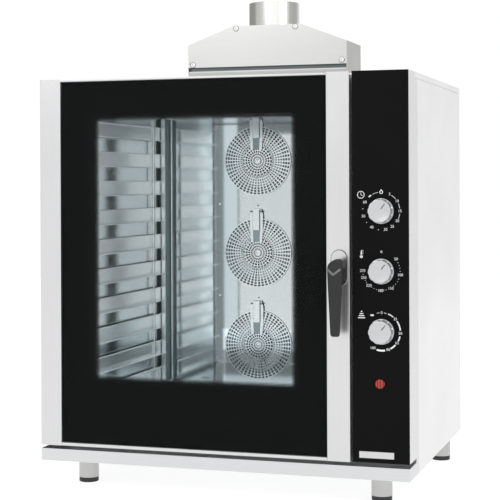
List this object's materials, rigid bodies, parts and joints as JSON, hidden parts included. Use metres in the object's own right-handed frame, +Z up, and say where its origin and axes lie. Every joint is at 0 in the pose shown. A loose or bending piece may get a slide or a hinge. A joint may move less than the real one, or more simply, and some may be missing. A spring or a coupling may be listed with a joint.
{
  "type": "gas convection oven",
  "caption": "Floor or stand mounted gas convection oven with a left-hinged glass door, tray racks, fans, rotary controls, drip tray, levelling feet and a flue hood.",
  "frame": {"origin": "on the floor under the centre of the whole oven, handle and inlets included", "axes": "+X to the right seen from the front, +Y from the door to the back, +Z up"},
  "size_m": [0.99, 0.86, 1.336],
  "materials": {
    "outer_steel": "fine satin stainless",
    "door_steel": "fine satin stainless",
    "hood_steel": "satin stainless",
    "chassis_steel": "plain sheet steel",
    "cavity_steel": "bright polished stainless",
    "wheel_steel": "heat-dulled stainless",
    "screw_steel": "bright",
    "spindle_steel": "turned steel",
    "bush_brass": "turned",
    "fascia_black": "satin black film",
    "print_black": "black screen print",
    "door_glass": "clear toughened",
    "lamp_glass": "clear borosilicate",
    "lamp_housing": "pressed",
    "seal_rubber": "matt silicone",
    "handle_black": "fine grain",
    "knob_silver": "silver paint",
    "control_plastic": "moulded",
    "lens_red": "translucent",
    "foot_black": "moulded",
    "gland_black": "moulded",
    "mineral_wool": "matted fibre",
    "motor_cast": "cast, painted grey",
    "burner_cast": "cast",
    "gas_brass": "plain",
    "water_brass": "plain"
  },
  "bodies": {
    "cabinet": {"base_pan": "chassis_steel", "foot_tubes": "chassis_steel", "side_panel_left": "outer_steel", "side_panel_right": "outer_steel", "back_panel": "outer_steel", "top_cover": "outer_steel", "front_frame": "outer_steel", "drip_tray": "outer_steel", "control_box": "outer_steel", "control_fascia": "fascia_black", "cavity_liner": "cavity_steel", "insulation": "mineral_wool", "fan_baffle": "cavity_steel", "fan_guards": "cavity_steel", "water_injectors": "cavity_steel", "water_pipework": "water_brass", "fan_motors": "motor_cast", "heat_exchanger": "wheel_steel", "burner": "burner_cast", "gas_train": "gas_brass", "flue_ducts": "hood_steel", "flue_hood": "hood_steel", "flue_front_plate": "hood_steel", "flue_pipe": "hood_steel", "hood_screws": "screw_steel", "panel_screws": "screw_steel", "rack_left": "cavity_steel", "rack_right": "cavity_steel", "rack_pegs": "cavity_steel", "door_gasket": "seal_rubber", "lamp_holders": "lamp_housing", "lamp_glasses": "lamp_glass", "hinge_arms": "chassis_steel", "door_catch": "chassis_steel", "knob_controls": "control_plastic", "indicator_lamp": "lens_red", "cable_gland": "gland_black"},
    "door": {"door_stile_left": "door_steel", "door_stile_right": "door_steel", "door_rail_top": "door_steel", "door_rail_bottom": "door_steel", "door_glass_outer": "door_glass", "door_glass_print": "print_black", "door_glass_inner": "door_glass", "door_inner_frame": "door_steel", "door_hinge_bushes": "bush_brass", "latch_case": "chassis_steel", "handle_rosette": "screw_steel"},
    "handle": {"handle_lever": "handle_black", "handle_spindle": "spindle_steel"},
    "knob_timer": {"knob_timer": "knob_silver"},
    "knob_temperature": {"knob_temperature": "knob_silver"},
    "knob_steam": {"knob_steam": "knob_silver"},
    "fan_top": {"fan_wheel_top": "wheel_steel"},
    "fan_middle": {"fan_wheel_middle": "wheel_steel"},
    "fan_bottom": {"fan_wheel_bottom": "wheel_steel"},
    "foot_front_left": {"levelling_foot_front_left": "foot_black"},
    "foot_front_right": {"levelling_foot_front_right": "foot_black"},
    "foot_rear_left": {"levelling_foot_rear_left": "foot_black"},
    "foot_rear_right": {"levelling_foot_rear_right": "foot_black"}
  },
  "joints": [
    {"name": "door_hinge", "type": "hinge", "parent": "cabinet", "child": "door", "pos_m": [-0.473, -0.338, 0.59], "axis": [0, 0, 1], "range_deg": [-110, 0]},
    {"name": "handle_turn", "type": "hinge", "parent": "door", "child": "handle", "pos_m": [0.3205, -0.376, 0.596], "axis": [0, 1, 0], "range_deg": [0, 90]},
    {"name": "knob_timer_turn", "type": "hinge", "parent": "cabinet", "child": "knob_timer", "pos_m": [0.4265, -0.376, 0.7315], "axis": [0, 1, 0], "range_deg": [-72, 261]},
    {"name": "knob_temperature_turn", "type": "hinge", "parent": "cabinet", "child": "knob_temperature", "pos_m": [0.4265, -0.376, 0.5835], "axis": [0, 1, 0], "range_deg": [-37, 233]},
    {"name": "knob_steam_turn", "type": "hinge", "parent": "cabinet", "child": "knob_steam", "pos_m": [0.4265, -0.376, 0.4355], "axis": [0, 1, 0], "range_deg": [-37, 233]},
    {"name": "fan_top_spin", "type": "hinge", "parent": "cabinet", "child": "fan_top", "pos_m": [-0.077, 0.265, 0.867], "axis": [0, 1, 0], "continuous": true},
    {"name": "fan_middle_spin", "type": "hinge", "parent": "cabinet", "child": "fan_middle", "pos_m": [-0.077, 0.265, 0.594], "axis": [0, 1, 0], "continuous": true},
    {"name": "fan_bottom_spin", "type": "hinge", "parent": "cabinet", "child": "fan_bottom", "pos_m": [-0.077, 0.265, 0.321], "axis": [0, 1, 0], "continuous": true},
    {"name": "foot_front_left_slide", "type": "slide", "parent": "cabinet", "child": "foot_front_left", "axis": [0, 0, -1], "range_m": [0, 0.02]},
    {"name": "foot_front_right_slide", "type": "slide", "parent": "cabinet", "child": "foot_front_right", "axis": [0, 0, -1], "range_m": [0, 0.02]},
    {"name": "foot_rear_left_slide", "type": "slide", "parent": "cabinet", "child": "foot_rear_left", "axis": [0, 0, -1], "range_m": [0, 0.02]},
    {"name": "foot_rear_right_slide", "type": "slide", "parent": "cabinet", "child": "foot_rear_right", "axis": [0, 0, -1], "range_m": [0, 0.02]}
  ]
}
